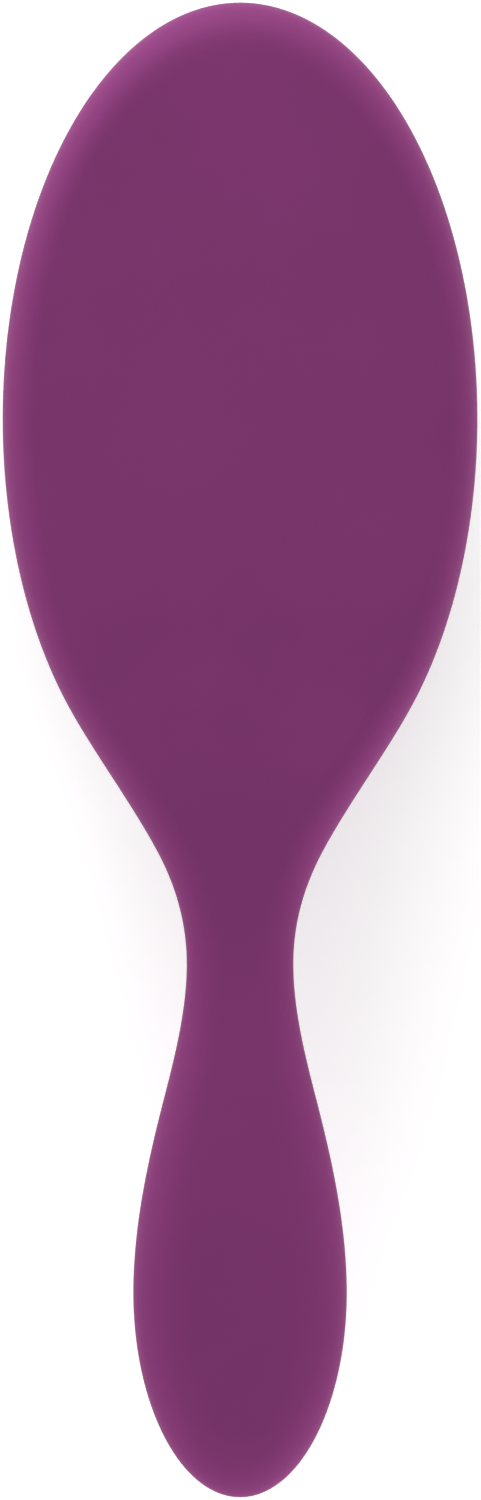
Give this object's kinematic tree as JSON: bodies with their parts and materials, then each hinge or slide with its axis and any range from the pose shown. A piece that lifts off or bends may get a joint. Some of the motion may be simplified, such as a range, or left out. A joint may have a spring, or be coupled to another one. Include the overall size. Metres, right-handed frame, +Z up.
{
  "type": "detangling hairbrush",
  "caption": "Oval cushion hairbrush with a soft-touch two-shell body, narrow neck and teardrop grip, and flexing rows of ball-tipped bristles on a springy pad.",
  "frame": {"origin": "on the supporting surface under the bristle tips, below the middle of the overall length", "axes": "+Y along the brush towards the head's tip, +Z up through the back, +X to the right seen on the back with the head away from the viewer"},
  "size_m": [0.0714, 0.225, 0.035],
  "materials": {
    "soft_touch_shell": "matte plum soft-touch lacquer on moulded plastic",
    "tray": "plain moulded plastic, hidden inside",
    "cushion": "dull dark plum rubber",
    "bristle": "satin plum nylon",
    "bristle_tip": "glossy dipped resin"
  },
  "bodies": {
    "handle": {"back_shell": "soft_touch_shell", "front_shell": "soft_touch_shell", "cushion_tray": "tray"},
    "cushion": {"cushion_pad": "cushion"},
    "row_01": {"bristle_row_01": "bristle", "tip_row_01": "bristle_tip"},
    "row_02": {"bristle_row_02": "bristle", "tip_row_02": "bristle_tip"},
    "row_03": {"bristle_row_03": "bristle", "tip_row_03": "bristle_tip"},
    "row_04": {"bristle_row_04": "bristle", "tip_row_04": "bristle_tip"},
    "row_05": {"bristle_row_05": "bristle", "tip_row_05": "bristle_tip"},
    "row_06": {"bristle_row_06": "bristle", "tip_row_06": "bristle_tip"},
    "row_07": {"bristle_row_07": "bristle", "tip_row_07": "bristle_tip"},
    "row_08": {"bristle_row_08": "bristle", "tip_row_08": "bristle_tip"},
    "row_09": {"bristle_row_09": "bristle", "tip_row_09": "bristle_tip"},
    "row_10": {"bristle_row_10": "bristle", "tip_row_10": "bristle_tip"},
    "row_11": {"bristle_row_11": "bristle", "tip_row_11": "bristle_tip"}
  },
  "joints": [
    {"name": "cushion_press", "type": "slide", "parent": "handle", "child": "cushion", "axis": [0, 0, 1], "range_m": [0, 0.0025], "stiffness_N_per_m": 3000, "deforming": ["cushion_pad"]},
    {"name": "bristle_flex_01", "type": "hinge", "parent": "cushion", "child": "row_01", "pos_m": [-0.02301, 0.04985, 0.02005], "axis": [0, 1, 0], "range_deg": [-25, 25], "stiffness_Nm_per_rad": 0.06},
    {"name": "bristle_flex_02", "type": "hinge", "parent": "cushion", "child": "row_02", "pos_m": [-0.0184, 0.04985, 0.01962], "axis": [0, 1, 0], "range_deg": [-25, 25], "stiffness_Nm_per_rad": 0.11},
    {"name": "bristle_flex_03", "type": "hinge", "parent": "cushion", "child": "row_03", "pos_m": [-0.0138, 0.04985, 0.01931], "axis": [0, 1, 0], "range_deg": [-25, 25], "stiffness_Nm_per_rad": 0.14},
    {"name": "bristle_flex_04", "type": "hinge", "parent": "cushion", "child": "row_04", "pos_m": [-0.0092, 0.04985, 0.01901], "axis": [0, 1, 0], "range_deg": [-25, 25], "stiffness_Nm_per_rad": 0.15},
    {"name": "bristle_flex_05", "type": "hinge", "parent": "cushion", "child": "row_05", "pos_m": [-0.0046, 0.04985, 0.01887], "axis": [0, 1, 0], "range_deg": [-25, 25], "stiffness_Nm_per_rad": 0.16},
    {"name": "bristle_flex", "type": "hinge", "parent": "cushion", "child": "row_06", "pos_m": [0, 0.04985, 0.0189], "axis": [0, 1, 0], "range_deg": [-25, 25], "stiffness_Nm_per_rad": 0.17},
    {"name": "bristle_flex_07", "type": "hinge", "parent": "cushion", "child": "row_07", "pos_m": [0.0046, 0.04985, 0.01887], "axis": [0, 1, 0], "range_deg": [-25, 25], "stiffness_Nm_per_rad": 0.16},
    {"name": "bristle_flex_08", "type": "hinge", "parent": "cushion", "child": "row_08", "pos_m": [0.0092, 0.04985, 0.01901], "axis": [0, 1, 0], "range_deg": [-25, 25], "stiffness_Nm_per_rad": 0.15},
    {"name": "bristle_flex_09", "type": "hinge", "parent": "cushion", "child": "row_09", "pos_m": [0.0138, 0.04985, 0.01931], "axis": [0, 1, 0], "range_deg": [-25, 25], "stiffness_Nm_per_rad": 0.14},
    {"name": "bristle_flex_10", "type": "hinge", "parent": "cushion", "child": "row_10", "pos_m": [0.0184, 0.04985, 0.01962], "axis": [0, 1, 0], "range_deg": [-25, 25], "stiffness_Nm_per_rad": 0.11},
    {"name": "bristle_flex_11", "type": "hinge", "parent": "cushion", "child": "row_11", "pos_m": [0.02301, 0.04985, 0.02005], "axis": [0, 1, 0], "range_deg": [-25, 25], "stiffness_Nm_per_rad": 0.06}
  ],
  "couplings": [
    {"joint": "bristle_flex_01", "follows": "bristle_flex", "ratio": 1},
    {"joint": "bristle_flex_02", "follows": "bristle_flex", "ratio": 1},
    {"joint": "bristle_flex_03", "follows": "bristle_flex", "ratio": 1},
    {"joint": "bristle_flex_04", "follows": "bristle_flex", "ratio": 1},
    {"joint": "bristle_flex_05", "follows": "bristle_flex", "ratio": 1},
    {"joint": "bristle_flex_07", "follows": "bristle_flex", "ratio": 1},
    {"joint": "bristle_flex_08", "follows": "bristle_flex", "ratio": 1},
    {"joint": "bristle_flex_09", "follows": "bristle_flex", "ratio": 1},
    {"joint": "bristle_flex_10", "follows": "bristle_flex", "ratio": 1},
    {"joint": "bristle_flex_11", "follows": "bristle_flex", "ratio": 1}
  ]
}
